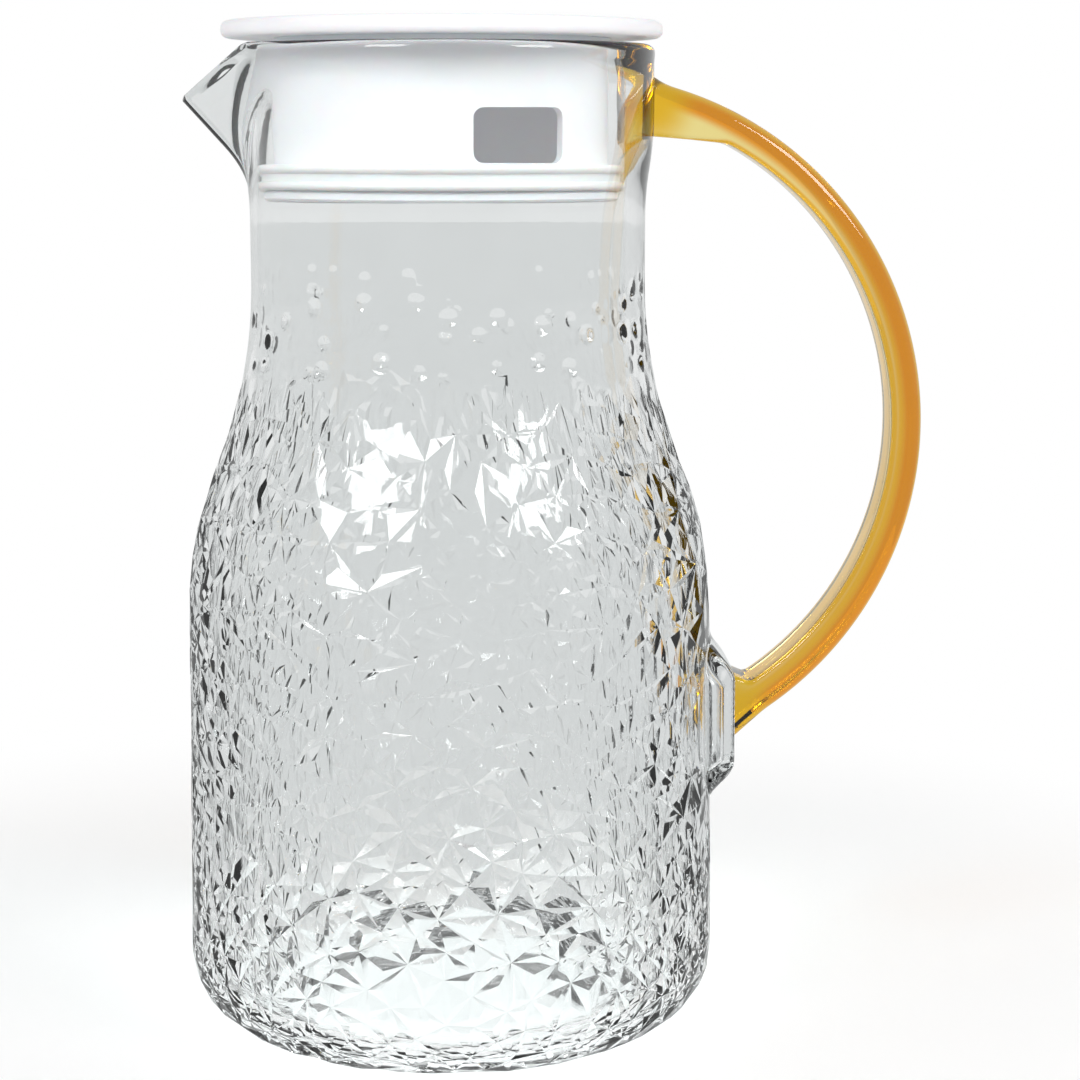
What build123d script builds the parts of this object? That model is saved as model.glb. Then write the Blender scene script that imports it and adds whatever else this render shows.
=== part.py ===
from build123d import *
from math import atan, cos, degrees, radians, sin, sqrt, tan
import os

# Water jug with a beak spout, a strap handle bonded to the neck and to a boss low on the body,
# and a turning lid: a flat cover on an open-bottomed plug with a pour window and a seal ring.
# The origin is the middle of the base. The spout points along -X, the handle along +X, the front is -Y.

# Heights, one above the other from the base to the rim
body_height = 98.0
shoulder_length = 76.0
neck_length = 14.0
flare_length = 23.0
mouth_length = 16.3

# Outer shape of the jug
waist_radius = 61.0
foot_spread = 1.0
base_corner = 16.0
shoulder_bend = 0.43
rim_round = 2.0

# Inside and walls of the jug. The inside lies on the mouth axis, a little toward the spout
mouth_offset = 1.1
bore_radius = 42.3
body_wall = 3.4
neck_wall = 3.05
rim_wall = 4.9
floor_thickness = 5.0
floor_corner = 12.0
bore_round = 1.2
foot_recess_depth = 1.2
foot_ring_width = 5.0

# Beak spout
spout_length = 13.7
spout_foot_drop = 29.3
spout_tip_drop = 12.1
spout_rim_setback = 2.6
spout_half_angle = 39.0
spout_tip_radius = 2.2
spout_wall = 2.0
spout_root_depth = 14.3

# Boss under the lower end of the handle
boss_proud = 5.5
boss_bottom = 53.5
boss_height = 36.5
boss_width = 30.0
boss_corner = 4.5
boss_toe = 7.0
boss_slope = 9.0
boss_wall = 3.4

# Handle
handle_stand_out = 62.65
handle_droop = 3.95
handle_width = 14.5
handle_thickness = 7.3
handle_top_thickness = 7.2
handle_bottom_thickness = 8.1
handle_edge = 3.2
handle_inner_edge = 1.4
handle_top_drop = 14.0
handle_top_end = 13.4
handle_top_rise = 4.65
handle_flare = 3.6
handle_underside = 16.5
handle_bottom_lift = 20.1
handle_bottom_end = 15.4
handle_bottom_fall = 1.0
handle_foot = 7.5
handle_bury = 5.0
bond_line = 0.05

# Lid cover
cover_overhang = 2.95
cover_thickness = 3.8
cover_edge = 1.6
cover_clearance = 1.3
cover_dish_depth = 0.6
cover_dish_margin = 7.0

# Lid collar
collar_gap = 4.0
collar_wall = 2.1
collar_depth = 34.3
spigot_height = 1.2
spigot_wall = 1.2
flange_gap = 1.7
flange_thickness = 2.4
seal_groove_depth = 1.2
window_angle = 25.5
window_width = 20.8
window_height = 11.4
window_corner = 2.2
window_sill = 0.4

# Seal ring
seal_height = 5.9
seal_lip_radius = 1.0
seal_fit = 0.06
bore_fit = 0.08
seal_end_fit = 0.05

# Radii and heights that follow
foot_radius = waist_radius + foot_spread
cavity_radius = waist_radius - body_wall
neck_radius = bore_radius + neck_wall
rim_radius = bore_radius + rim_wall
shoulder_end = body_height + shoulder_length
flare_start = shoulder_end + neck_length
flare_end = flare_start + flare_length
rim_height = flare_end + mouth_length
spout_reach = rim_radius + spout_length
boss_reach = waist_radius + boss_proud
boss_top = boss_bottom + boss_height

os.makedirs("parts", exist_ok=True)


def s_curve(start_radius, end_radius, start_height, length, bend):
    """Two tangent arcs from one upright wall to another."""
    turn = 2 * atan((end_radius - start_radius) / length)
    total = abs(length / sin(turn))
    way = 1 if turn < 0 else -1
    first = JernArc((start_radius, start_height), (0, 1), bend * total, way * degrees(abs(turn)))
    JernArc(first @ 1, first % 1, (1 - bend) * total, -way * degrees(abs(turn)))


# The jug body: the outer shape is turned, then the spout and the boss are joined on and the inside is cut
recess_radius = foot_radius - base_corner - foot_ring_width

with BuildSketch(Plane.XZ) as body_outline:
    with BuildLine():
        Polyline(
            (0, foot_recess_depth),
            (recess_radius - foot_recess_depth, foot_recess_depth),
            (recess_radius, 0),
            (foot_radius - base_corner, 0),
        )
        RadiusArc((foot_radius - base_corner, 0), (foot_radius, base_corner), -base_corner)
        Line((foot_radius, base_corner), (waist_radius, body_height))
        s_curve(waist_radius, neck_radius, body_height, shoulder_length, shoulder_bend)
        Line((neck_radius, shoulder_end), (neck_radius, flare_start))
        s_curve(neck_radius, rim_radius, flare_start, flare_length, 0.5)
        Line((rim_radius, flare_end), (rim_radius, rim_height - rim_round))
        RadiusArc((rim_radius, rim_height - rim_round), (rim_radius - rim_round, rim_height), -rim_round)
        Polyline((rim_radius - rim_round, rim_height), (0, rim_height), (0, foot_recess_depth))
    make_face()

with BuildSketch(Plane.XZ) as inside_outline:
    with BuildLine():
        Line((0, floor_thickness), (cavity_radius - floor_corner, floor_thickness))
        RadiusArc(
            (cavity_radius - floor_corner, floor_thickness),
            (cavity_radius, floor_thickness + floor_corner),
            -floor_corner,
        )
        Line((cavity_radius, floor_thickness + floor_corner), (cavity_radius, body_height))
        s_curve(cavity_radius, bore_radius, body_height, shoulder_length, shoulder_bend)
        Line((bore_radius, shoulder_end), (bore_radius, rim_height - bore_round))
        RadiusArc((bore_radius, rim_height - bore_round), (bore_radius + bore_round, rim_height), bore_round)
        Polyline(
            (bore_radius + bore_round, rim_height),
            (bore_radius + bore_round, rim_height + 1),
            (0, rim_height + 1),
            (0, floor_thickness),
        )
    make_face()

# The spout's flat section grows from nothing at its foot, and its slanting rim cuts it off at the tip
spout_foot_height = rim_height - spout_foot_drop
spout_section_top = rim_height + 4
spout_root = bore_radius - spout_root_depth
spout_rim_start = rim_radius - spout_rim_setback
spout_slope = (spout_reach - neck_radius) / (spout_foot_drop - spout_tip_drop)
spout_rim_slope = spout_tip_drop / (spout_reach - spout_rim_start)


def spout_section(height, inset):
    """A rounded wedge in plan, its point on the line of the spout's underside."""
    apex = neck_radius + (height - spout_foot_height) * spout_slope
    half = radians(spout_half_angle)
    point = apex + spout_tip_radius * (1 / sin(half) - 1) - inset / sin(half)
    tip = max(spout_tip_radius - inset, 0.4)
    centre = point - tip / sin(half)
    touch = (-centre - tip * sin(half), tip * cos(half))
    side = (point - spout_root) * tan(half)
    with BuildSketch(Plane.XY.offset(height)) as section:
        with BuildLine():
            ThreePointArc(touch, (-centre - tip, 0), (touch[0], -touch[1]))
            Polyline((touch[0], -touch[1]), (-spout_root, -side), (-spout_root, side), touch)
        make_face()
    return section.sketch


spout_outer = loft([spout_section(spout_foot_height - 2, 0), spout_section(spout_section_top, 0)], ruled=True)
spout_inner = loft(
    [spout_section(spout_foot_height - 2, spout_wall), spout_section(spout_section_top, spout_wall)],
    ruled=True,
)

with BuildSketch(Plane.XZ) as above_spout:
    far = spout_reach + 30
    with BuildLine():
        Polyline(
            (-spout_rim_start, rim_height),
            (-far, rim_height - (far - spout_rim_start) * spout_rim_slope),
            (-far, spout_section_top + 1),
            (-spout_rim_start, spout_section_top + 1),
            close=True,
        )
    make_face()

with BuildSketch(Plane.XZ) as boss_outline:
    with BuildLine():
        Polyline(
            (boss_reach, boss_top - boss_slope),
            (foot_radius, boss_top),
            (cavity_radius, boss_top + boss_slope),
            (cavity_radius, boss_bottom),
            (boss_reach - boss_toe, boss_bottom),
        )
        RadiusArc((boss_reach - boss_toe, boss_bottom), (boss_reach, boss_bottom + boss_toe), -boss_toe)
        Line((boss_reach, boss_bottom + boss_toe), (boss_reach, boss_top - boss_slope))
    make_face()

# The boss is cored out from inside the jug
core_back = cavity_radius - boss_wall
core_face = boss_reach - boss_wall
with BuildSketch(Plane.XZ) as boss_core:
    with BuildLine():
        Polyline(
            (core_back, boss_bottom + boss_wall),
            (core_face, boss_bottom + 2 * boss_wall),
            (core_face, boss_top - boss_slope - boss_wall / 2),
            (core_back, boss_top),
            close=True,
        )
    make_face()

with BuildPart() as boss:
    extrude(boss_outline.sketch, amount=boss_width / 2, both=True)
    fillet(boss.edges().filter_by(Axis.Z).group_by(Axis.X)[-1], boss_corner)

with BuildPart() as jug_body:
    revolve(body_outline.sketch, axis=Axis.Z)
    add(boss.part)
    add(spout_outer)
    with BuildSketch(Plane.XY.offset(rim_height)):
        Circle(foot_radius * 2)
    extrude(amount=spout_section_top - rim_height + 5, mode=Mode.SUBTRACT)
    extrude(above_spout.sketch, amount=foot_radius, both=True, mode=Mode.SUBTRACT)
    with Locations((-mouth_offset, 0, 0)):
        add(revolve(inside_outline.sketch, axis=Axis.Z, mode=Mode.PRIVATE), mode=Mode.SUBTRACT)
    add(spout_inner, mode=Mode.SUBTRACT)
    extrude(boss_core.sketch, amount=boss_width / 2 - boss_wall, both=True, mode=Mode.SUBTRACT)
jug_body.part.label = "jug_body"
export_step(jug_body.part, "parts/jug_body.step")


# The handle: a curved strap, crisper along its inner edges, spread where it is bonded on
handle_top_height = rim_height - handle_top_drop
handle_bottom_height = boss_bottom + handle_bottom_lift
handle_reach = rim_radius + handle_stand_out
handle_middle = (handle_top_height + handle_bottom_height) / 2 - handle_droop
top_bury_x = rim_radius - handle_bury
bottom_bury_x = boss_reach - handle_bury

with BuildSketch(Plane.XZ) as strap_outline:
    with BuildLine():
        outer = ThreePointArc(
            (boss_reach + handle_foot, handle_bottom_height - handle_bottom_fall),
            (handle_reach, handle_middle),
            (rim_radius + handle_flare, handle_top_height + handle_top_rise),
        )
        bend, bend_radius = outer.arc_center, outer.radius
        underside_x = rim_radius + handle_underside
        toe_x = boss_reach + handle_flare
        inner = ThreePointArc(
            (underside_x, bend.Y + sqrt((bend_radius - handle_top_thickness) ** 2 - (underside_x - bend.X) ** 2)),
            (handle_reach - handle_thickness, handle_middle),
            (toe_x, bend.Y - sqrt((bend_radius - handle_bottom_thickness) ** 2 - (toe_x - bend.X) ** 2)),
        )
        Polyline(
            outer @ 1,
            (rim_radius, handle_top_height + handle_top_end / 2),
            (top_bury_x, handle_top_height + handle_top_end / 2),
            (top_bury_x, handle_top_height - handle_top_end / 2),
            (rim_radius, handle_top_height - handle_top_end / 2),
            inner @ 0,
        )
        Polyline(
            inner @ 1,
            (boss_reach, handle_bottom_height + handle_bottom_end / 2),
            (bottom_bury_x, handle_bottom_height + handle_bottom_end / 2),
            (bottom_bury_x, handle_bottom_height - handle_bottom_end / 2),
            (boss_reach, handle_bottom_height - handle_bottom_end / 2),
            outer @ 0,
        )
    make_face()

with BuildPart() as handle:
    extrude(strap_outline.sketch, amount=handle_width / 2, both=True)
    side_edges = handle.edges().group_by(Axis.Y)[0] + handle.edges().group_by(Axis.Y)[-1]
    long_edges = side_edges.filter_by(Axis.Z, reverse=True)
    far_edges, near_edges = [], []
    for edge in long_edges:
        from_bend = Vector((edge @ 0.5).X - bend.X, 0, (edge @ 0.5).Z - bend.Y).length
        (far_edges if from_bend > bend_radius - handle_thickness / 2 else near_edges).append(edge)
    fillet(far_edges, handle_edge)
    fillet(near_edges, handle_inner_edge)
    with BuildSketch():
        Circle(rim_radius + bond_line)
    extrude(amount=2 * rim_height, mode=Mode.SUBTRACT)
    with Locations(((boss_reach + bond_line) / 2, 0, boss_top / 2)):
        Box(boss_reach + bond_line, 2 * boss_width, boss_top, mode=Mode.SUBTRACT)
handle.part.label = "handle"
export_step(handle.part, "parts/handle.step")

# The lid hangs on the mouth axis
mouth = (-mouth_offset, 0, 0)
cover_radius = rim_radius + cover_overhang
cover_bottom = rim_height + cover_clearance
cover_top = cover_bottom + cover_thickness
collar_radius = bore_radius - collar_gap
flange_radius = bore_radius - flange_gap
collar_bottom = rim_height - collar_depth
collar_bore = collar_radius - collar_wall
spigot_radius = collar_bore + spigot_wall

with BuildSketch(Plane.XZ) as cover_outline:
    with BuildLine():
        dish_radius = cover_radius - cover_dish_margin
        Polyline(
            (0, cover_bottom + spigot_height),
            (collar_bore, cover_bottom + spigot_height),
            (spigot_radius, cover_bottom + spigot_height),
            (spigot_radius, cover_bottom),
            (cover_radius - cover_edge, cover_bottom),
        )
        RadiusArc((cover_radius - cover_edge, cover_bottom), (cover_radius, cover_bottom + cover_edge), -cover_edge)
        Line((cover_radius, cover_bottom + cover_edge), (cover_radius, cover_top - cover_edge))
        RadiusArc((cover_radius, cover_top - cover_edge), (cover_radius - cover_edge, cover_top), -cover_edge)
        Polyline(
            (cover_radius - cover_edge, cover_top),
            (dish_radius, cover_top),
            (dish_radius - 2 * cover_dish_depth, cover_top - cover_dish_depth),
            (0, cover_top - cover_dish_depth),
            (0, cover_bottom + spigot_height),
        )
    make_face()

with BuildPart() as lid_cover:
    with Locations(mouth):
        add(revolve(cover_outline.sketch, axis=Axis.Z, mode=Mode.PRIVATE))
lid_cover.part.label = "lid_cover"
export_step(lid_cover.part, "parts/lid_cover.step")

# The collar: a tube with a spigot in the cover, a groove for the seal and a flange under it
groove_radius = collar_radius - seal_groove_depth
groove_bottom = collar_bottom + flange_thickness
groove_top = groove_bottom + seal_height

with BuildSketch(Plane.XZ) as collar_outline:
    with BuildLine():
        Polyline(
            (collar_bore, collar_bottom),
            (flange_radius, collar_bottom),
            (flange_radius, groove_bottom),
            (groove_radius, groove_bottom),
            (groove_radius, groove_top),
            (collar_radius, groove_top),
            (collar_radius, cover_bottom),
            (spigot_radius, cover_bottom),
            (spigot_radius, cover_bottom + spigot_height),
            (collar_bore, cover_bottom + spigot_height),
            close=True,
        )
    make_face()

window_middle = groove_top + window_sill + window_height / 2
window_plane = Plane(
    origin=(-mouth_offset, 0, window_middle),
    x_dir=(cos(radians(window_angle)), sin(radians(window_angle)), 0),
    z_dir=(sin(radians(window_angle)), -cos(radians(window_angle)), 0),
)

with BuildPart() as lid_collar:
    with Locations(mouth):
        add(revolve(collar_outline.sketch, axis=Axis.Z, mode=Mode.PRIVATE))
    with BuildSketch(window_plane):
        RectangleRounded(window_width, window_height, window_corner)
    extrude(amount=2 * collar_radius, mode=Mode.SUBTRACT)
lid_collar.part.label = "lid_collar"
export_step(lid_collar.part, "parts/lid_collar.step")

# The seal ring: two round lips against the bore, on a sleeve in the collar's groove
seal_bottom = groove_bottom + seal_end_fit
seal_top = groove_top - seal_end_fit
lip_reach = bore_radius - bore_fit
lip_centre = lip_reach - seal_lip_radius

with BuildSketch(Plane.XZ) as seal_outline:
    with BuildLine():
        seal_bore = groove_radius + seal_fit
        Line((lip_centre, seal_top - 2 * seal_lip_radius), (lip_centre, seal_bottom + 2 * seal_lip_radius))
        ThreePointArc(
            (lip_centre, seal_bottom + 2 * seal_lip_radius),
            (lip_reach, seal_bottom + seal_lip_radius),
            (lip_centre, seal_bottom),
        )
        Polyline((lip_centre, seal_bottom), (seal_bore, seal_bottom), (seal_bore, seal_top), (lip_centre, seal_top))
        ThreePointArc(
            (lip_centre, seal_top),
            (lip_reach, seal_top - seal_lip_radius),
            (lip_centre, seal_top - 2 * seal_lip_radius),
        )
    make_face()

with BuildPart() as seal_ring:
    with Locations(mouth):
        add(revolve(seal_outline.sketch, axis=Axis.Z, mode=Mode.PRIVATE))
seal_ring.part.label = "seal_ring"
export_step(seal_ring.part, "parts/seal_ring.step")
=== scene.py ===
from math import asin, atan, atan2, cos, pi, radians, sin, sqrt

import bpy
import bmesh
import numpy as np
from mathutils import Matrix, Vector
from mathutils.geometry import delaunay_2d_cdt


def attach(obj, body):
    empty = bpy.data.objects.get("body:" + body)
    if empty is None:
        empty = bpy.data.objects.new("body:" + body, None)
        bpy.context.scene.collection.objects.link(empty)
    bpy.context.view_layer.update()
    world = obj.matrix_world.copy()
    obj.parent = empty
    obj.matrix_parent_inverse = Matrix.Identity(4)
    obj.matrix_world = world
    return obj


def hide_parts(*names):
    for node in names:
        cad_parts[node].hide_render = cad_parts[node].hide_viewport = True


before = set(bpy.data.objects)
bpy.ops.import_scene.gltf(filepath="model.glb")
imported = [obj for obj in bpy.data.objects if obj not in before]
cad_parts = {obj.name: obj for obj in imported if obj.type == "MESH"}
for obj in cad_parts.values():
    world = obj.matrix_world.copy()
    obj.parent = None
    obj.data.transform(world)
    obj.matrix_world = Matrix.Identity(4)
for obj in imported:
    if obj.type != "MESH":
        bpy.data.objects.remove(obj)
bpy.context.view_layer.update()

MM = 0.001

# Sizes of the jug in millimetres, the same as the frame's
WAIST_R, FOOT_R, BASE_CORNER = 61.0, 62.0, 16.0
WAIST_Z, SHOULDER_LENGTH, SHOULDER_BEND = 98.0, 76.0, 0.43
NECK_R, NECK_TOP, RIM_R, FLARE_TOP, RIM_Z = 45.35, 188.0, 47.2, 211.0, 227.3
MOUTH_X = -1.1
CAVITY_R, BORE_R, FLOOR_Z, FLOOR_CORNER = 57.6, 42.3, 5.0, 12.0
RECESS_R, RECESS_RISE = 41.0, 1.2
SPOUT_FOOT_Z, SPOUT_SLOPE, SPOUT_WALL = 198.0, 0.904, 2.0
SPOUT_HALF_ANGLE, SPOUT_TIP_R = radians(39), 2.2
SPOUT_RIM_START, SPOUT_RIM_SLOPE = 44.6, 0.742
BOSS_X, CORE_X = 66.5, 63.1
FACET_TOP_Z, DIMPLE_TOP_Z = 154.0, 176.0


# ---- shader and mesh helpers

def linear(hex_colour):
    """sRGB hex to the linear colour that a socket takes."""
    channels = [int(hex_colour[i:i + 2], 16) / 255 for i in (1, 3, 5)]
    return tuple(c / 12.92 if c <= 0.04045 else ((c + 0.055) / 1.055) ** 2.4 for c in channels) + (1.0,)


def per_mm(size):
    """Texture scale that gives one feature every size millimetres."""
    return 1.0 / (size * MM)


def add_node(tree, kind, settings=None, inputs=None):
    """A node with its settings, its values and its links."""
    node = tree.nodes.new(kind)
    for name, value in (settings or {}).items():
        setattr(node, name, value)
    for socket, value in (inputs or {}).items():
        if isinstance(value, bpy.types.NodeSocket):
            tree.links.new(value, node.inputs[socket])
        else:
            node.inputs[socket].default_value = value
    return node


def new_material(name):
    material = bpy.data.materials.new(name)
    material.use_nodes = True
    material.node_tree.nodes.clear()
    return material, material.node_tree


def mix_colours(tree, factor, first, second, blend="MIX"):
    """The first colour at factor 0, the second at 1."""
    settings = {"data_type": "RGBA", "blend_type": blend}
    return add_node(tree, "ShaderNodeMix", settings, {0: factor, 6: first, 7: second}).outputs[2]


def mix_shaders(tree, factor, first, second):
    """The first shader at factor 0, the second at 1."""
    return add_node(tree, "ShaderNodeMixShader", {}, {0: factor, 1: first, 2: second}).outputs[0]


def soft_step(tree, value, start, end):
    """0 below start, 1 above end, smooth between."""
    limits = {"Value": value, "From Min": start, "From Max": end}
    return add_node(tree, "ShaderNodeMapRange", {"interpolation_type": "SMOOTHSTEP"}, limits).outputs["Result"]


def calculate(tree, operation, first, second, clamp=False):
    """One step of arithmetic."""
    settings = {"operation": operation, "use_clamp": clamp}
    return add_node(tree, "ShaderNodeMath", settings, {0: first, 1: second}).outputs[0]


def distance_to(tree, place, point):
    """Distance from a place to a point given in millimetres."""
    inputs = {0: place, 1: [v * MM for v in point]}
    return add_node(tree, "ShaderNodeVectorMath", {"operation": "DISTANCE"}, inputs).outputs["Value"]


def noise(tree, place, size_mm, detail):
    """Noise with features of size_mm."""
    inputs = {"Vector": place, "Scale": per_mm(size_mm), "Detail": detail}
    return add_node(tree, "ShaderNodeTexNoise", {}, inputs).outputs["Fac"]


def surface_detail(tree, tone_low, tone_high, tone_mm, rough, rough_mm, bump_mm, bump_height):
    """Colour, roughness and bump that vary over the piece at sizes in millimetres."""
    place = add_node(tree, "ShaderNodeTexCoord").outputs["Object"]
    tone = mix_colours(tree, noise(tree, place, tone_mm, 2.0), linear(tone_low), linear(tone_high))
    roughness = add_node(tree, "ShaderNodeMapRange", {}, {
        "Value": noise(tree, place, rough_mm, 3.0), "From Min": 0.3, "From Max": 0.7,
        "To Min": rough[0], "To Max": rough[1]})
    bump = add_node(tree, "ShaderNodeBump", {}, {
        "Height": noise(tree, place, bump_mm, 2.0), "Strength": 1.0, "Distance": bump_height * MM})
    return tone, roughness.outputs["Result"], bump.outputs["Normal"]


def see_through(name, detail, ior, shine, shadow_hex, absorb_hex, density, inner_edge_painted_light=None, near_joints=None):
    """A clear moulded plastic: refracts, lets the lamps through to the floor, and takes up light along its depth."""
    material, tree = new_material(name)
    tone, roughness, normal = surface_detail(tree, *detail)
    if inner_edge_painted_light:
        # Painted light: the side of a bend that faces its centre is painted paler, where light takes a short path
        # through the thin inner edge
        painted_light_hex, centre, start, end = inner_edge_painted_light
        place = add_node(tree, "ShaderNodeTexCoord").outputs["Object"]
        flattened = {0: place, 1: (1.0, 0.0, 1.0)}
        in_plane = add_node(tree, "ShaderNodeVectorMath", {"operation": "MULTIPLY"}, flattened).outputs[0]
        share = soft_step(tree, distance_to(tree, in_plane, centre), start * MM, end * MM)
        tone = mix_colours(tree, share, linear(painted_light_hex), tone)
    if near_joints:
        # The tone changes toward another one within a few millimetres of the named points
        joint_hex, joints, start, end = near_joints
        place = add_node(tree, "ShaderNodeTexCoord").outputs["Object"]
        nearest = distance_to(tree, place, joints[0])
        for joint in joints[1:]:
            nearest = calculate(tree, "MINIMUM", nearest, distance_to(tree, place, joint))
        share = soft_step(tree, nearest, start * MM, end * MM)
        tone = mix_colours(tree, share, linear(joint_hex), tone)
    shell = add_node(tree, "ShaderNodeBsdfPrincipled", {}, {
        "Base Color": tone, "Roughness": roughness, "Normal": normal, "IOR": ior,
        "Specular IOR Level": shine, "Transmission Weight": 1.0})
    lamp_light = add_node(tree, "ShaderNodeBsdfTransparent", {}, {"Color": linear(shadow_hex)})
    to_lamp = add_node(tree, "ShaderNodeLightPath").outputs["Is Shadow Ray"]
    mixed = mix_shaders(tree, to_lamp, shell.outputs[0], lamp_light.outputs[0])
    depth = add_node(tree, "ShaderNodeVolumeAbsorption", {}, {"Color": linear(absorb_hex), "Density": density})
    add_node(tree, "ShaderNodeOutputMaterial", {}, {"Surface": mixed, "Volume": depth.outputs[0]})
    return material


def solid_finish(name, detail, ior, subsurface=0.0, subsurface_mm=1.0):
    """An opaque or milky moulded finish."""
    material, tree = new_material(name)
    tone, roughness, normal = surface_detail(tree, *detail)
    shell = add_node(tree, "ShaderNodeBsdfPrincipled", {}, {
        "Base Color": tone, "Roughness": roughness, "Normal": normal, "IOR": ior,
        "Subsurface Weight": subsurface, "Subsurface Scale": subsurface_mm * MM})
    add_node(tree, "ShaderNodeOutputMaterial", {}, {"Surface": shell.outputs[0]})
    return material


# Styrene-acrylonitrile, injection moulded: water-clear, faintly cool, with the soft flow ripple of a thick wall
clear_san_moulded = see_through(
    "clear_san_moulded", ("#FAFBFB", "#F5F6F6", 14, (0.004, 0.018), 2.5, 11, 0.03),
    1.50, 0.5, "#F4F6F6", "#EDEFEF", 5.0)
# The same plastic tinted amber: painted pale-yellow light along its inner edge, yellow at its two joints, orange
# through its middle
amber_san_moulded = see_through(
    "amber_san_moulded", ("#F7A910", "#F0A00C", 10, (0.01, 0.03), 2.0, 9, 0.02),
    1.50, 0.4, "#F2C45A", "#F3DA00", 48.0,
    # Painted light: the pale band along the inner edge of the bend
    ("#FFFAC8", (28.75, 0.0, 139.9), 75.4, 77.6),
    ("#F4CC08", ((47.2, 0.0, 213.3), (66.5, 0.0, 73.6)), 7.0, 13.0))
# ABS, moulded in a finely spark-eroded tool: white, satin, with a grain that only softens the highlights
white_abs_spark_finish = solid_finish(
    "white_abs_spark_finish", ("#E9EAED", "#EFEFF2", 9, (0.30, 0.42), 1.2, 0.5, 0.008), 1.53, 0.25, 2.5)
# Liquid silicone, pressed in a polished tool: milky, light goes a little way in, matt with a soft shine
milky_silicone_moulded = solid_finish(
    "milky_silicone_moulded", ("#DDE0E0", "#E9EBEB", 5, (0.38, 0.5), 1.0, 1.5, 0.01), 1.41, 0.35, 2.5)


def make_piece(name, points, faces, material, flat_faces=()):
    """A mesh object at the origin from points in millimetres."""
    mesh = bpy.data.meshes.new(name)
    corners = [(float(x) * MM, float(y) * MM, float(z) * MM) for x, y, z in points]
    mesh.from_pydata(corners, [], [tuple(int(i) for i in face) for face in faces])
    mesh.validate()
    mesh.polygons.foreach_set("use_smooth", [True] * len(mesh.polygons))
    if flat_faces:
        # A flat face is a smooth one with sharp edges, so that the plastic's depth is one volume
        sharp = [False] * len(mesh.edges)
        edge_of = {key: i for i, key in enumerate(mesh.edge_keys)}
        for i in flat_faces:
            for key in mesh.polygons[i].edge_keys:
                sharp[edge_of[key]] = True
        mesh.edges.foreach_set("use_edge_sharp", sharp)
    mesh.materials.append(material)
    piece = bpy.data.objects.new(name, mesh)
    bpy.context.collection.objects.link(piece)
    return piece


def applied(piece):
    """The piece with its modifiers made plain mesh."""
    bpy.context.view_layer.update()
    result = bpy.data.meshes.new_from_object(piece.evaluated_get(bpy.context.evaluated_depsgraph_get()))
    result.name = piece.name
    piece.modifiers.clear()
    old = piece.data
    piece.data = result
    bpy.data.meshes.remove(old)
    return piece


def face_outwards(piece):
    """Turns a closed shell the right way round by the sign of its volume."""
    shape = bmesh.new()
    shape.from_mesh(piece.data)
    bmesh.ops.remove_doubles(shape, verts=shape.verts, dist=1e-6)
    bmesh.ops.recalc_face_normals(shape, faces=shape.faces)
    if shape.calc_volume(signed=True) < 0:
        bmesh.ops.reverse_faces(shape, faces=shape.faces)
    shape.to_mesh(piece.data)
    shape.free()


# ---- the jug body

def s_wall(z, r0, r1, z0, length, bend):
    """Radius of a wall that goes from r0 to r1 in two tangent arcs."""
    turn = 2 * atan(abs(r1 - r0) / length)
    total = length / sin(turn)
    lower, upper = bend * total, (1 - bend) * total
    way = 1 if r1 < r0 else -1
    up = z - z0
    if up <= lower * sin(turn):
        return r0 - way * (lower - sqrt(lower ** 2 - up ** 2))
    return r1 + way * (upper - sqrt(upper ** 2 - (length - up) ** 2))


def outer_wall(z):
    if z < BASE_CORNER:
        return FOOT_R - BASE_CORNER + sqrt(max(BASE_CORNER ** 2 - (BASE_CORNER - z) ** 2, 0))
    if z < WAIST_Z:
        return FOOT_R + (WAIST_R - FOOT_R) * (z - BASE_CORNER) / (WAIST_Z - BASE_CORNER)
    if z < WAIST_Z + SHOULDER_LENGTH:
        return s_wall(z, WAIST_R, NECK_R, WAIST_Z, SHOULDER_LENGTH, SHOULDER_BEND)
    if z < NECK_TOP:
        return NECK_R
    if z < FLARE_TOP:
        return s_wall(z, NECK_R, RIM_R, NECK_TOP, FLARE_TOP - NECK_TOP, 0.5)
    return RIM_R


def inner_wall(z):
    if z < FLOOR_Z + FLOOR_CORNER:
        return CAVITY_R - FLOOR_CORNER + sqrt(max(FLOOR_CORNER ** 2 - (FLOOR_Z + FLOOR_CORNER - z) ** 2, 0))
    if z < WAIST_Z:
        return CAVITY_R
    if z < WAIST_Z + SHOULDER_LENGTH:
        return s_wall(z, CAVITY_R, BORE_R, WAIST_Z, SHOULDER_LENGTH, SHOULDER_BEND)
    return BORE_R


def smooth_max(a, b, blend):
    """The larger of two radii, with a fillet where they cross."""
    h = max(blend - abs(a - b), 0.0) / blend
    return max(a, b) + h * h * blend * 0.25


def spout_wedge(angle, z, inset):
    """Distance from the axis to the spout's wedge, angle away from -X."""
    point = NECK_R + (z - SPOUT_FOOT_Z) * SPOUT_SLOPE
    point += SPOUT_TIP_R * (1 / sin(SPOUT_HALF_ANGLE) - 1) - inset / sin(SPOUT_HALF_ANGLE)
    tip = max(SPOUT_TIP_R - inset, 0.4)
    centre = point - tip / sin(SPOUT_HALF_ANGLE)
    angle = abs(angle)
    if angle < atan2(tip * cos(SPOUT_HALF_ANGLE), centre + tip * sin(SPOUT_HALF_ANGLE)):
        return centre * cos(angle) + sqrt(max(tip ** 2 - (centre * sin(angle)) ** 2, 0))
    return point * sin(SPOUT_HALF_ANGLE) / sin(min(SPOUT_HALF_ANGLE + angle, pi / 2))


def from_spout(theta):
    """Angle from -X, between -180 and 180 degrees."""
    return (theta % (2 * pi)) - pi


def outer_reach(theta, z):
    return smooth_max(outer_wall(z), spout_wedge(from_spout(theta), z, 0.0), 4.0)


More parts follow.
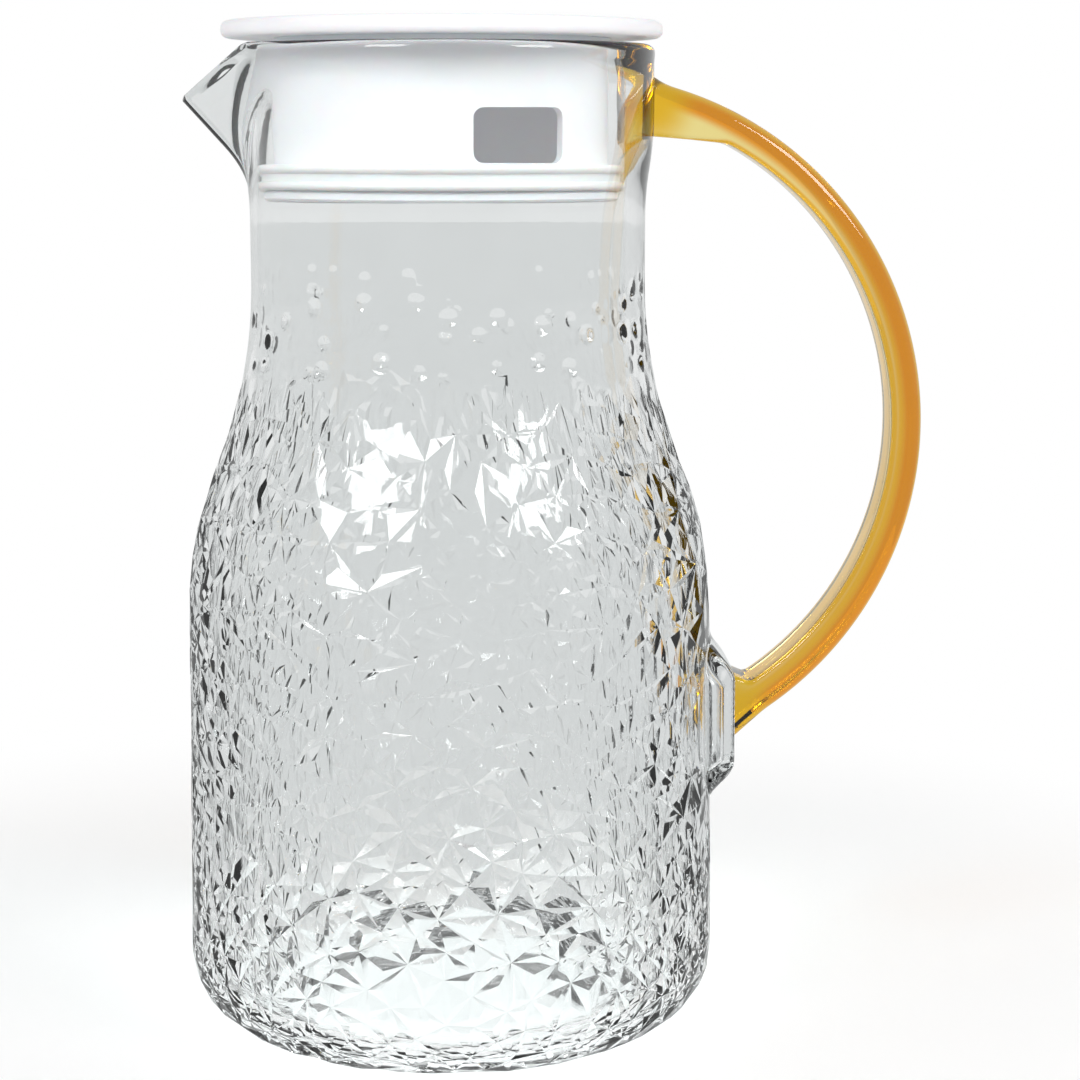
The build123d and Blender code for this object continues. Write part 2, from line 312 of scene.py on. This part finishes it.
def inner_reach(theta, z, spout=True):
    shift = MOUTH_X * cos(theta)
    wall = shift + sqrt(inner_wall(z) ** 2 - (MOUTH_X * sin(theta)) ** 2)
    if not spout:
        return wall
    return smooth_max(wall, spout_wedge(from_spout(theta), z, SPOUT_WALL), 2.5)


def rim_plane(x):
    """Height of the rim, which falls away along the spout."""
    return RIM_Z - max(-x - SPOUT_RIM_START, 0.0) * SPOUT_RIM_SLOPE


def rim_edge(theta, reach, below):
    """Height at which a wall meets the rim plane, less below."""
    low, high = SPOUT_FOOT_Z, RIM_Z
    for _ in range(40):
        z = (low + high) / 2
        if z < rim_plane(reach(theta, z) * cos(theta)) - below:
            low = z
        else:
            high = z
    return (low + high) / 2


def facet_path():
    """The outer wall from the foot to the top of the facets: length along it, radius and height."""
    turn = np.linspace(0, pi / 2, 24)
    r = list(FOOT_R - BASE_CORNER + BASE_CORNER * np.sin(turn))
    z = list(BASE_CORNER - BASE_CORNER * np.cos(turn))
    for height in np.linspace(BASE_CORNER, FACET_TOP_Z, 160)[1:]:
        r.append(outer_wall(height))
        z.append(height)
    r, z = np.array(r), np.array(z)
    along = np.concatenate([[0], np.cumsum(np.hypot(np.diff(r), np.diff(z)))])
    return along, r, z


def boss_bulge(y, z):
    """How far the boss has grown out, from 0 at the wall to 1 at its flat face."""
    side = min(max((15.8 - abs(y)) / 6.3, 0.0), 1.0)
    side = side * side * (3 - 2 * side)
    if z > 81.0:
        level = 0.5 + 0.5 * cos(pi * min((z - 81.0) / 11.5, 1.0))
    elif z < 61.5:
        level = (0.5 + 0.5 * cos(pi * min((61.5 - z) / 8.5, 1.0))) ** 0.7
    else:
        level = 1.0
    return side * level


def core_bulge(y, z):
    """How far the hollow behind the boss has grown out, from 0 at the inside wall to 1 at its face."""
    side = min(max((12.4 - abs(y)) / 4.5, 0.0), 1.0)
    low = min(max((z - 56.5) / 5.5, 0.0), 1.0)
    high = min(max((88.0 - z) / 9.5, 0.0), 1.0)
    return side * side * (3 - 2 * side) * low * low * (3 - 2 * low) * high * high * (3 - 2 * high)


COLUMNS, FOOT_COLUMNS = 480, 120


def make_jug_body():
    points, faces, smooth, band = [], [], [], []

    def add_point(x, y, z, dimpled=0.0):
        points.append((x, y, z))
        band.append(dimpled)
        return len(points) - 1

    def add_row(count, place, dimpled=0.0):
        row = []
        for i in range(count):
            theta = -pi + 2 * pi * i / count
            r, z = place(theta)
            row.append(add_point(r * cos(theta), r * sin(theta), z, dimpled))
        return row

    def add_band(row_a, row_b):
        count = len(row_a)
        for i in range(count):
            j = (i + 1) % count
            faces.append((row_a[i], row_a[j], row_b[j], row_b[i]))
            smooth.append(True)

    def close_pole(row, z):
        centre = add_point(0.0, 0.0, z)
        for i in range(len(row)):
            faces.append((row[i], row[(i + 1) % len(row)], centre))
            smooth.append(True)

    # Facets: peaks spread at random, closer toward the foot, with a shallow pit between every three
    along, path_r, path_z = facet_path()
    top = along[-1]
    mean_r = 58.0
    tries, foot_spacing, more_above = 26000, 5.2, 2.7
    rng = np.random.default_rng(9347)
    top_row = add_row(COLUMNS, lambda theta: (outer_wall(FACET_TOP_Z), FACET_TOP_Z))
    foot_row = add_row(FOOT_COLUMNS, lambda theta: (FOOT_R - BASE_CORNER, 0.0))
    flat = [(-pi + 2 * pi * i / COLUMNS, top) for i in range(COLUMNS)]
    flat += [(-pi + 2 * pi * i / FOOT_COLUMNS, 0.0) for i in range(FOOT_COLUMNS)]
    kind = ["edge"] * (COLUMNS + FOOT_COLUMNS)

    def at(v):
        return float(np.interp(v, along, path_r)), float(np.interp(v, along, path_z))

    # Boss: a dense patch, so that it shades smooth
    patch_side, patch_step, patch_columns, patch_shift = 17.2, 1.05, 33, 0.5
    boss_rows = np.concatenate([np.linspace(52.6, 60.5, 9), np.arange(61.5, 93.4, 1.1)])
    for j, z in enumerate(boss_rows):
        for i in range(patch_columns):
            y = -patch_side + patch_step * i + (patch_shift if j % 2 else 0.0)
            r = outer_wall(z)
            theta = asin(y / r)
            bulge = boss_bulge(y, z)
            reach = r + bulge * (BOSS_X / cos(theta) - r)
            v = float(np.interp(z, path_z, along))
            add_point(reach * cos(theta), reach * sin(theta), z)
            flat.append((theta, v))
            kind.append("boss")

    peaks = []
    for theta, v in zip(rng.uniform(-pi, pi, tries), rng.uniform(2.0, top - 2.2, tries)):
        spacing = foot_spacing + more_above * min(max((v - 20) / 90, 0), 1)
        if abs(theta * mean_r) < 20.5 and v > 70 and at(v)[1] < 94.8:
            continue
        if peaks:
            known = np.array(peaks)
            turn = np.abs(known[:, 0] - theta)
            turn = np.minimum(turn, 2 * pi - turn) * mean_r
            if np.min(np.hypot(turn, known[:, 1] - v)) < spacing:
                continue
        peaks.append((theta, v))
    for theta, v in peaks:
        r, z = at(v)
        add_point(r * cos(theta), r * sin(theta), z)
        flat.append((theta, v))
        kind.append("peak")

    # The wall is unrolled, with a strip repeated past each end, and triangulated
    sheet, owner = [], []
    for turn in (-1, 0, 1):
        for index, (theta, v) in enumerate(flat):
            shifted = theta + turn * 2 * pi
            if -pi - 0.7 < shifted < pi + 0.7:
                sheet.append(Vector((shifted * mean_r, v)))
                owner.append(index)
    rings = []
    for level in (top, 0.0):
        ring = sorted((sheet[k].x, k) for k in range(len(sheet)) if abs(sheet[k].y - level) < 1e-9)
        rings += [(a[1], b[1]) for a, b in zip(ring, ring[1:])]
    result = delaunay_2d_cdt(sheet, rings, [], 0, 1e-7)
    new_points, new_faces, origin = result[0], result[2], result[3]
    for face in new_faces:
        middle = sum(new_points[k].x for k in face) / 3 / mean_r
        if not -pi <= middle < pi:
            continue
        a, b, c = (owner[origin[k][0]] for k in face)
        kinds = (kind[a], kind[b], kind[c])
        if kinds == ("peak", "peak", "peak"):
            v = sum(new_points[k].y for k in face) / 3
            weights = rng.dirichlet((6, 6, 6))
            corner = [np.array(points[k]) for k in (a, b, c)]
            pit = sum(w * p for w, p in zip(weights, corner))
            across = np.cross(corner[1] - corner[0], corner[2] - corner[0])
            size = sqrt(np.linalg.norm(across))
            depth = size * rng.uniform(0.025, 0.09) * min(1.0, 0.55 + (top - v) / 40)
            across = across / np.linalg.norm(across)
            if np.dot(across, (pit[0], pit[1], 0.0)) < 0:
                across = -across
            middle_point = add_point(*(pit - depth * across))
            for p, q in ((a, b), (b, c), (c, a)):
                faces.append((p, q, middle_point))
                smooth.append(False)
        else:
            faces.append((a, b, c))
            smooth.append(kinds.count("boss") == 3)

    # Foot ring and the recess under it
    under = foot_row
    for r, z in ((RECESS_R, 0.0), (RECESS_R - RECESS_RISE, RECESS_RISE), (26.0, RECESS_RISE), (12.0, RECESS_RISE)):
        row = add_row(FOOT_COLUMNS, lambda theta: (r, z))
        add_band(row, under)
        under = row
    close_pole(under[::-1], RECESS_RISE)

    # Dimpled band, neck and spout
    last = top_row
    for z in np.linspace(FACET_TOP_Z, DIMPLE_TOP_Z, 38)[1:]:
        fade = min(1.0, (z - FACET_TOP_Z) / 2.0, max(0.0, (DIMPLE_TOP_Z - z) / 8.0))
        row = add_row(COLUMNS, lambda theta: (outer_wall(z), z), fade)
        add_band(last, row)
        last = row
    plain_top = 190.0
    for z in np.linspace(DIMPLE_TOP_Z, plain_top, 8)[1:]:
        row = add_row(COLUMNS, lambda theta: (outer_reach(theta, z), z))
        add_band(last, row)
        last = row
    rim = []
    for i in range(COLUMNS):
        theta = -pi + 2 * pi * i / COLUMNS
        thick = outer_reach(theta, RIM_Z - 8) - inner_reach(theta, RIM_Z - 8)
        below = min(2.0, thick / 2)
        rim.append((theta, below, rim_edge(theta, outer_reach, below), rim_edge(theta, inner_reach, below)))

    def add_rim_row(place):
        row = []
        for theta, below, high_out, high_in in rim:
            r, z = place(theta, below, high_out, high_in)
            row.append(add_point(r * cos(theta), r * sin(theta), z))
        return row

    for step in np.linspace(0, 1, 27)[1:]:
        row = add_rim_row(lambda theta, below, high_out, high_in: (
            outer_reach(theta, plain_top + step * (high_out - plain_top)), plain_top + step * (high_out - plain_top)))
        add_band(last, row)
        last = row
    for turn in np.linspace(0, pi, 13)[1:]:
        def cap(theta, below, high_out, high_in):
            out_r, in_r = outer_reach(theta, high_out), inner_reach(theta, high_in)
            share = (1 - cos(turn)) / 2
            return out_r + share * (in_r - out_r), high_out + share * (high_in - high_out) + below * sin(turn)
        row = add_rim_row(cap)
        add_band(last, row)
        last = row

    # Inside, down to the floor
    inner_low = 194.0
    for step in np.linspace(0, 1, 18)[1:]:
        row = add_rim_row(lambda theta, below, high_out, high_in: (
            inner_reach(theta, high_in + step * (inner_low - high_in)), high_in + step * (inner_low - high_in)))
        add_band(last, row)
        last = row
    floor_turn = FLOOR_Z + FLOOR_CORNER * (1 - np.cos(np.linspace(pi / 2, 0, 9)))
    down = list(np.linspace(inner_low, WAIST_Z, 26)[1:]) + list(np.linspace(89.0, 55.5, 28)) + list(floor_turn)

    def inside(theta, z):
        reach = inner_reach(theta, z, z > 185)
        bulge = core_bulge(reach * sin(theta), z) if cos(theta) > 0.9 else 0.0
        return reach + bulge * (CORE_X / cos(theta) - reach)

    for z in down:
        row = add_row(COLUMNS, lambda theta: (inside(theta, z), z))
        add_band(last, row)
        last = row
    for share in (0.6, 0.25):
        row = add_row(COLUMNS, lambda theta: (share * inner_reach(theta, FLOOR_Z, False), FLOOR_Z))
        add_band(last, row)
        last = row
    close_pole(last, FLOOR_Z)

    facets = [i for i, is_smooth in enumerate(smooth) if not is_smooth]
    piece = make_piece("faceted_jug_body", points, faces, clear_san_moulded, facets)
    attribute = piece.data.attributes.new("dimple_band", "FLOAT", "POINT")
    attribute.data.foreach_set("value", band)
    return piece


def finish_tree(tree, material, real):
    """Sets the material on what a tree has made, and puts it out."""
    named = add_node(tree, "GeometryNodeSetMaterial", {}, {"Geometry": real.outputs[0], "Material": material})
    add_node(tree, "NodeGroupOutput", {}, {0: named.outputs[0]})


def dimple_tree():
    """Presses round dimples into the part of a surface where dimple_band is above 0."""
    tree = bpy.data.node_groups.new("shoulder_dimples", "GeometryNodeTree")
    face = tree.interface
    face.new_socket("Geometry", in_out="INPUT", socket_type="NodeSocketGeometry")
    for name, value in (("Spacing", 0.007), ("Radius", 0.0024), ("Depth", 0.0003), ("Share", 0.7), ("Seed", 3.0)):
        face.new_socket(name, in_out="INPUT", socket_type="NodeSocketFloat").default_value = value
    face.new_socket("Material", in_out="INPUT", socket_type="NodeSocketMaterial")
    face.new_socket("Geometry", in_out="OUTPUT", socket_type="NodeSocketGeometry")
    given = add_node(tree, "NodeGroupInput").outputs
    place = add_node(tree, "GeometryNodeInputPosition").outputs[0]
    seed = given["Seed"]
    offset = add_node(tree, "ShaderNodeCombineXYZ", {}, {"X": seed, "Y": seed, "Z": seed})
    moved = add_node(tree, "ShaderNodeVectorMath", {"operation": "ADD"}, {0: place, 1: offset.outputs[0]})
    scale = calculate(tree, "DIVIDE", 1.0, given["Spacing"])
    cells = add_node(tree, "ShaderNodeTexVoronoi", {}, {"Vector": moved.outputs[0], "Scale": scale, "Randomness": 0.9})
    away = calculate(tree, "MULTIPLY", cells.outputs["Distance"], given["Spacing"])
    share = calculate(tree, "DIVIDE", away, given["Radius"])
    rise = calculate(tree, "SUBTRACT", 1.0, calculate(tree, "MULTIPLY", share, share), True)
    colour = add_node(tree, "ShaderNodeSeparateXYZ", {}, {0: cells.outputs["Color"]})
    chosen = calculate(tree, "LESS_THAN", colour.outputs[0], given["Share"])
    pressed = calculate(tree, "MULTIPLY", rise, chosen)
    where = add_node(tree, "GeometryNodeInputNamedAttribute", {"data_type": "FLOAT"}, {"Name": "dimple_band"})
    masked = calculate(tree, "MULTIPLY", pressed, where.outputs["Attribute"])
    inward = calculate(tree, "MULTIPLY", calculate(tree, "MULTIPLY", masked, given["Depth"]), -1.0)
    normal = add_node(tree, "GeometryNodeInputNormal").outputs[0]
    push = add_node(tree, "ShaderNodeVectorMath", {"operation": "SCALE"}, {0: normal, "Scale": inward})
    shaped = add_node(tree, "GeometryNodeSetPosition", {}, {"Geometry": given["Geometry"], "Offset": push.outputs[0]})
    real = add_node(tree, "GeometryNodeRealizeInstances", {}, {0: shaped.outputs[0]})
    finish_tree(tree, given["Material"], real)
    return tree


def turned_tree():
    """Sweeps a half profile, drawn in X and Y, once round an upright axis."""
    tree = bpy.data.node_groups.new("turned_moulding", "GeometryNodeTree")
    face = tree.interface
    face.new_socket("Geometry", in_out="INPUT", socket_type="NodeSocketGeometry")
    face.new_socket("Steps", in_out="INPUT", socket_type="NodeSocketInt").default_value = 256
    face.new_socket("Axis X", in_out="INPUT", socket_type="NodeSocketFloat").default_value = 0.0
    face.new_socket("Path Radius", in_out="INPUT", socket_type="NodeSocketFloat").default_value = 0.001
    face.new_socket("Material", in_out="INPUT", socket_type="NodeSocketMaterial")
    face.new_socket("Geometry", in_out="OUTPUT", socket_type="NodeSocketGeometry")
    given = add_node(tree, "NodeGroupInput").outputs
    path = {"Resolution": given["Steps"], "Radius": given["Path Radius"]}
    ring = add_node(tree, "GeometryNodeCurvePrimitiveCircle", {}, path)
    upright = add_node(tree, "GeometryNodeSetCurveNormal", {"mode": "Z_UP"}, {0: ring.outputs[0]})
    profile = add_node(tree, "GeometryNodeMeshToCurve", {}, {0: given["Geometry"]})
    swept = add_node(tree, "GeometryNodeCurveToMesh", {}, {0: upright.outputs[0], 1: profile.outputs[0]})
    centre = add_node(tree, "ShaderNodeCombineXYZ", {}, {"X": given["Axis X"]})
    moved = {"Geometry": swept.outputs[0], "Translation": centre.outputs[0]}
    placed = add_node(tree, "GeometryNodeTransform", {}, moved)
    real = add_node(tree, "GeometryNodeRealizeInstances", {}, {0: placed.outputs[0]})
    finish_tree(tree, given["Material"], real)
    return tree


def run_tree(piece, tree, values):
    """Runs a node tree on a piece with its inputs set by socket identifier, and keeps the plain mesh."""
    modifier = piece.modifiers.new(tree.name, "NODES")
    modifier.node_group = tree
    ids = {s.name: s.identifier for s in tree.interface.items_tree if s.in_out == "INPUT"}
    for name, value in values.items():
        modifier[ids[name]] = value
    return applied(piece)


TURN_STEPS, PATH_RADIUS = 288, 1.0


def turned_piece(name, profile, material, closed):
    """A part turned about the mouth axis from points (radius, height) in millimetres."""
    mesh = bpy.data.meshes.new(name)
    edges = [(i, i + 1) for i in range(len(profile) - 1)]
    if closed:
        edges.append((len(profile) - 1, 0))
    mesh.from_pydata([((r - PATH_RADIUS) * MM, -z * MM, 0.0) for r, z in profile], edges, [])
    piece = bpy.data.objects.new(name, mesh)
    bpy.context.collection.objects.link(piece)
    run_tree(piece, turned, {
        "Steps": TURN_STEPS, "Axis X": MOUTH_X * MM, "Path Radius": PATH_RADIUS * MM, "Material": material})
    face_outwards(piece)
    return piece


def shade(piece, angle=32):
    piece.data.polygons.foreach_set("use_smooth", [True] * len(piece.data.polygons))
    piece.data.set_sharp_from_angle(angle=radians(angle))


def arc_points(centre, radius, start, end, count):
    """Points on an arc, angles in degrees."""
    turns = [radians(a) for a in np.linspace(start, end, count)]
    return [(centre[0] + radius * cos(t), centre[1] + radius * sin(t)) for t in turns]


turned = turned_tree()
dimples = dimple_tree()

jug = make_jug_body()
run_tree(jug, dimples, {
    "Spacing": 0.0066, "Radius": 0.0021, "Depth": 0.0008, "Share": 0.85, "Seed": 3.0, "Material": clear_san_moulded})
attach(jug, "jug")
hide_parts("jug_body")

# ---- lid cover, collar and seal

COVER_LOW, COVER_HIGH, COVER_R, COVER_EDGE = 228.6, 232.4, 50.15, 1.6
COLLAR_LOW, COLLAR_R, COLLAR_BORE, SPIGOT_R, SPIGOT_RISE = 193.0, 38.3, 36.2, 37.4, 1.2
GROOVE_R, GROOVE_LOW, GROOVE_HIGH, FLANGE_R = 37.1, 195.4, 201.3, 40.6

cover_profile = [(0.0, COVER_LOW + SPIGOT_RISE), (SPIGOT_R, COVER_LOW + SPIGOT_RISE), (SPIGOT_R, COVER_LOW)]
cover_profile += arc_points((COVER_R - COVER_EDGE, COVER_LOW + COVER_EDGE), COVER_EDGE, -90, 0, 9)
cover_profile += arc_points((COVER_R - COVER_EDGE, COVER_HIGH - COVER_EDGE), COVER_EDGE, 0, 90, 9)
cover_profile += [(r, COVER_HIGH - fall) for r, fall in (
    (43.6, 0.0), (43.1, 0.06), (42.4, 0.34), (41.7, 0.56), (41.2, 0.6), (0.0, 0.6))]
cover = turned_piece("lid_cover_disc", cover_profile, white_abs_spark_finish, False)
shade(cover)
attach(cover, "lid")
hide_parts("lid_cover")

SEAT_GAP = 0.02
collar_profile = [
    (COLLAR_BORE, COLLAR_LOW + 0.4), (COLLAR_BORE + 0.4, COLLAR_LOW),
    (FLANGE_R - 0.5, COLLAR_LOW), (FLANGE_R, COLLAR_LOW + 0.5),
    (FLANGE_R, GROOVE_LOW - 0.5), (FLANGE_R - 0.5, GROOVE_LOW),
    (GROOVE_R, GROOVE_LOW), (GROOVE_R, GROOVE_HIGH),
    (COLLAR_R - 0.3, GROOVE_HIGH), (COLLAR_R, GROOVE_HIGH + 0.3),
    (COLLAR_R, COVER_LOW - SEAT_GAP), (SPIGOT_R - SEAT_GAP, COVER_LOW - SEAT_GAP),
    (SPIGOT_R - SEAT_GAP, COVER_LOW + SPIGOT_RISE - SEAT_GAP), (COLLAR_BORE, COVER_LOW + SPIGOT_RISE - SEAT_GAP)]
collar = turned_piece("lid_collar_plug", collar_profile, white_abs_spark_finish, True)


def cut_window(piece):
    """Cuts the pour window: a rounded opening through one side of the collar."""
    width, height, corner, middle, turn = 20.8, 11.4, 2.2, 207.4, radians(25.5)
    outline = []
    for cx, cz, start in ((1, 1, 0), (-1, 1, 90), (-1, -1, 180), (1, -1, 270)):
        outline += arc_points((cx * (width / 2 - corner), cz * (height / 2 - corner)), corner, start, start + 90, 7)
    along = (cos(turn), sin(turn))
    out = (sin(turn), -cos(turn))
    points = []
    for depth in (20.0, 50.0):
        for u, w in outline:
            points.append((MOUTH_X + along[0] * u + out[0] * depth, along[1] * u + out[1] * depth, middle + w))
    count = len(outline)
    faces = [tuple(range(count)), tuple(range(2 * count - 1, count - 1, -1))]
    faces += [(i, i + count, (i + 1) % count + count, (i + 1) % count) for i in range(count)]
    cutter = make_piece("window_cutter", points, faces, white_abs_spark_finish)
    face_outwards(cutter)
    cut = piece.modifiers.new("window", "BOOLEAN")
    cut.operation = "DIFFERENCE"
    cut.solver = "EXACT"
    cut.object = cutter
    applied(piece)
    bpy.data.objects.remove(cutter)


cut_window(collar)
shade(collar, 28)
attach(collar, "lid")
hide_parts("lid_collar")

LIP_R, LIP_CENTRE, SEAL_LOW, SEAL_HIGH, SEAL_BORE = 1.0, 41.22, 195.45, 201.25, 37.16
seal_profile = [(SEAL_BORE, SEAL_LOW)] + arc_points((LIP_CENTRE, SEAL_LOW + LIP_R), LIP_R, -90, 90, 13)
seal_profile += arc_points((LIP_CENTRE, SEAL_HIGH - LIP_R), LIP_R, -90, 90, 13) + [(SEAL_BORE, SEAL_HIGH)]
seal = turned_piece("lid_seal_ring", seal_profile, milky_silicone_moulded, True)
shade(seal)
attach(seal, "seal")
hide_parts("seal_ring")


# ---- the handle

def arc_through(a, b, c, count):
    """Points on the arc from a through b to c."""
    (ax, ay), (bx, by), (cx, cy) = a, b, c
    d = 2 * (ax * (by - cy) + bx * (cy - ay) + cx * (ay - by))
    aa, bb, cc = ax ** 2 + ay ** 2, bx ** 2 + by ** 2, cx ** 2 + cy ** 2
    ux = (aa * (by - cy) + bb * (cy - ay) + cc * (ay - by)) / d
    uy = (aa * (cx - bx) + bb * (ax - cx) + cc * (bx - ax)) / d
    start, end = atan2(ay - uy, ax - ux), atan2(cy - uy, cx - ux)
    radius = sqrt((ax - ux) ** 2 + (ay - uy) ** 2)
    return [(ux + radius * cos(t), uy + radius * sin(t)) for t in np.linspace(start, end, count)]


def resample(points, count, soften):
    """Points spaced evenly along a line, its corners softened."""
    def spaced(line, number):
        along = np.concatenate([[0], np.cumsum(np.hypot(*np.diff(line, axis=0).T))])
        places = np.linspace(0, 1, number) * along[-1]
        return np.stack([np.interp(places, along, line[:, k]) for k in (0, 1)], 1)

    line = spaced(np.array(points), 400)
    for _ in range(soften):
        line[1:-1] = (line[:-2] + 2 * line[1:-1] + line[2:]) / 4
    return spaced(line, count)


HANDLE_WIDTH, HANDLE_EDGE, HANDLE_INNER_EDGE, BOND = 14.5, 3.2, 1.4, 0.05


def make_handle():
    outside = [(RIM_R + BOND, 220.0), (RIM_R + 1.2, 219.1)]
    outside += arc_through((50.8, 217.95), (109.82, 139.5), (74.0, 72.6), 90)
    outside += [(70.2, 69.2), (BOSS_X + BOND, 65.9)]
    inside = [(RIM_R + BOND, 206.6), (55.5, 205.9)]
    inside += arc_through((63.7, 205.0), (102.55, 139.5), (70.1, 79.7), 80)
    inside += [(68.2, 80.7), (BOSS_X + BOND, 81.3)]
    count, ring = 150, 40
    outside, inside = resample(outside, count, 6), resample(inside, count, 6)
    points, faces = [], []
    for k in range(count):
        low, high = inside[k], outside[k]
        thick = float(np.hypot(*(high - low)))
        outline = []
        for sy, st, start, edge in (
                (1, 1, 0, HANDLE_EDGE), (-1, 1, 90, HANDLE_EDGE),
                (-1, -1, 180, HANDLE_INNER_EDGE), (1, -1, 270, HANDLE_INNER_EDGE)):
            corner = (sy * (HANDLE_WIDTH / 2 - edge), st * (thick / 2 - edge))
            outline += arc_points(corner, edge, start, start + 90, ring // 4)
        for y, t in outline:
            share = (t + thick / 2) / thick
            x, z = low + share * (high - low)
            drawn_in = (RIM_R + BOND) - sqrt((RIM_R + BOND) ** 2 - y ** 2)
            x -= drawn_in * max(0.0, 1 - k / 14) ** 2
            points.append((x, y, z))
    for k in range(count - 1):
        for i in range(ring):
            j = (i + 1) % ring
            faces.append((k * ring + i, k * ring + j, (k + 1) * ring + j, (k + 1) * ring + i))
    faces.append(tuple(range(ring)))
    faces.append(tuple((count - 1) * ring + i for i in range(ring - 1, -1, -1)))
    return make_piece("strap_handle", points, faces, amber_san_moulded)


handle = make_handle()
face_outwards(handle)
shade(handle, 50)
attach(handle, "jug")
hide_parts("handle")


# ---- floor, light and camera

def white_behind(tree, near, white):
    """near for rays that light the object, white for rays that see the background."""
    ray = add_node(tree, "ShaderNodeLightPath").outputs
    seen = calculate(tree, "MAXIMUM", ray["Is Camera Ray"], ray["Is Glossy Ray"])
    seen = calculate(tree, "MAXIMUM", seen, ray["Is Transmission Ray"])
    return mix_shaders(tree, seen, near, white)


def make_floor():
    points = [(0.0, 0.0, -0.1)]
    faces = []
    for r in (200.0, 600.0, 6000.0):
        points += [(r * cos(2 * pi * i / 64), r * sin(2 * pi * i / 64), -0.1) for i in range(64)]
    faces += [(0, 1 + i, 1 + (i + 1) % 64) for i in range(64)]
    for k in range(2):
        a, b = 1 + 64 * k, 65 + 64 * k
        faces += [(a + i, b + i, b + (i + 1) % 64, a + (i + 1) % 64) for i in range(64)]
    material, tree = new_material("white_paper_floor")
    place = add_node(tree, "ShaderNodeTexCoord").outputs["Object"]
    away = add_node(tree, "ShaderNodeVectorMath", {"operation": "LENGTH"}, {0: place})
    straight = add_node(tree, "ShaderNodeLightPath").outputs["Is Camera Ray"]
    # The paper turns to plain white further out for the camera than for light that comes through the jug
    start = add_node(tree, "ShaderNodeMix", {}, {0: straight, 2: 0.03, 3: 0.08})
    end = add_node(tree, "ShaderNodeMix", {}, {0: straight, 2: 0.16, 3: 0.3})
    far = soft_step(tree, away.outputs["Value"], start.outputs[0], end.outputs[0])
    paper = add_node(tree, "ShaderNodeBsdfDiffuse", {}, {"Color": linear("#FDFDFD")}).outputs[0]
    seen_tone = mix_colours(tree, straight, linear("#DFE1E1"), linear("#FFFFFF"))
    glow = add_node(tree, "ShaderNodeEmission", {}, {"Color": seen_tone, "Strength": 1.0}).outputs[0]
    both = white_behind(tree, paper, mix_shaders(tree, far, paper, glow))
    add_node(tree, "ShaderNodeOutputMaterial", {}, {"Surface": both})
    floor = make_piece("floor", points, faces, material)


def make_world():
    world = bpy.data.worlds.new("soft_studio")
    bpy.context.scene.world = world
    world.use_nodes = True
    tree = world.node_tree
    tree.nodes.clear()
    fill = add_node(tree, "ShaderNodeBackground", {}, {"Color": linear("#FFFFFF"), "Strength": 0.5}).outputs[0]
    generated = add_node(tree, "ShaderNodeTexCoord").outputs["Generated"]
    way = add_node(tree, "ShaderNodeSeparateXYZ", {}, {0: generated}).outputs
    # The room is white behind and beside the jug, a little greyer in front of it and overhead
    aside = soft_step(tree, way[1], -0.85, -0.1)
    tone = mix_colours(tree, aside, linear("#DCDFDF"), linear("#F0F1F1"))
    overhead = soft_step(tree, way[2], 0.06, 0.5)
    tone = mix_colours(tree, overhead, tone, linear("#F2F4F4"), "MULTIPLY")
    room = add_node(tree, "ShaderNodeBackground", {}, {"Color": tone, "Strength": 1.0}).outputs[0]
    white = add_node(tree, "ShaderNodeBackground", {}, {"Color": linear("#FFFFFF"), "Strength": 1.0}).outputs[0]
    straight = add_node(tree, "ShaderNodeLightPath").outputs["Is Camera Ray"]
    seen = mix_shaders(tree, straight, white_behind(tree, fill, room), white)
    add_node(tree, "ShaderNodeOutputWorld", {}, {"Surface": seen})


def add_softbox(name, azimuth, elevation, distance, width, height, radiance):
    """A softbox that faces the middle of the jug. Azimuth 0 is the front, positive toward +X."""
    lamp = bpy.data.lights.new(name, "AREA")
    lamp.shape = "RECTANGLE"
    lamp.size, lamp.size_y = width, height
    lamp.energy = radiance * width * height * pi
    box = bpy.data.objects.new(name, lamp)
    bpy.context.collection.objects.link(box)
    a, e = radians(azimuth), radians(elevation)
    aim = Vector((0, 0, 0.12))
    box.location = aim + distance * Vector((sin(a) * cos(e), -cos(a) * cos(e), sin(e)))
    box.rotation_euler = (aim - box.location).to_track_quat("-Z", "Y").to_euler()


make_floor()
make_world()
add_softbox("softbox_left", -36, 34, 1.3, 0.45, 0.45, 11.0)
add_softbox("softbox_right", 50, 33, 1.3, 0.45, 0.45, 11.5)

lens = bpy.data.cameras.new("camera")
lens.lens, lens.sensor_width = 86.2, 36.0
lens.clip_start, lens.clip_end = 0.05, 50.0
camera = bpy.data.objects.new("camera", lens)
bpy.context.collection.objects.link(camera)
camera.location = (0.0, -0.600, 0.2108)
camera.rotation_euler = (radians(90 - 9.27), 0.0, radians(-2.02))
bpy.context.scene.camera = camera
bpy.context.scene.view_settings.view_transform = "Standard"
# Light has to get through many walls of the facets
bpy.context.scene.cycles.max_bounces = 32
bpy.context.scene.cycles.transmission_bounces = 32
bpy.context.scene.cycles.diffuse_bounces = 6
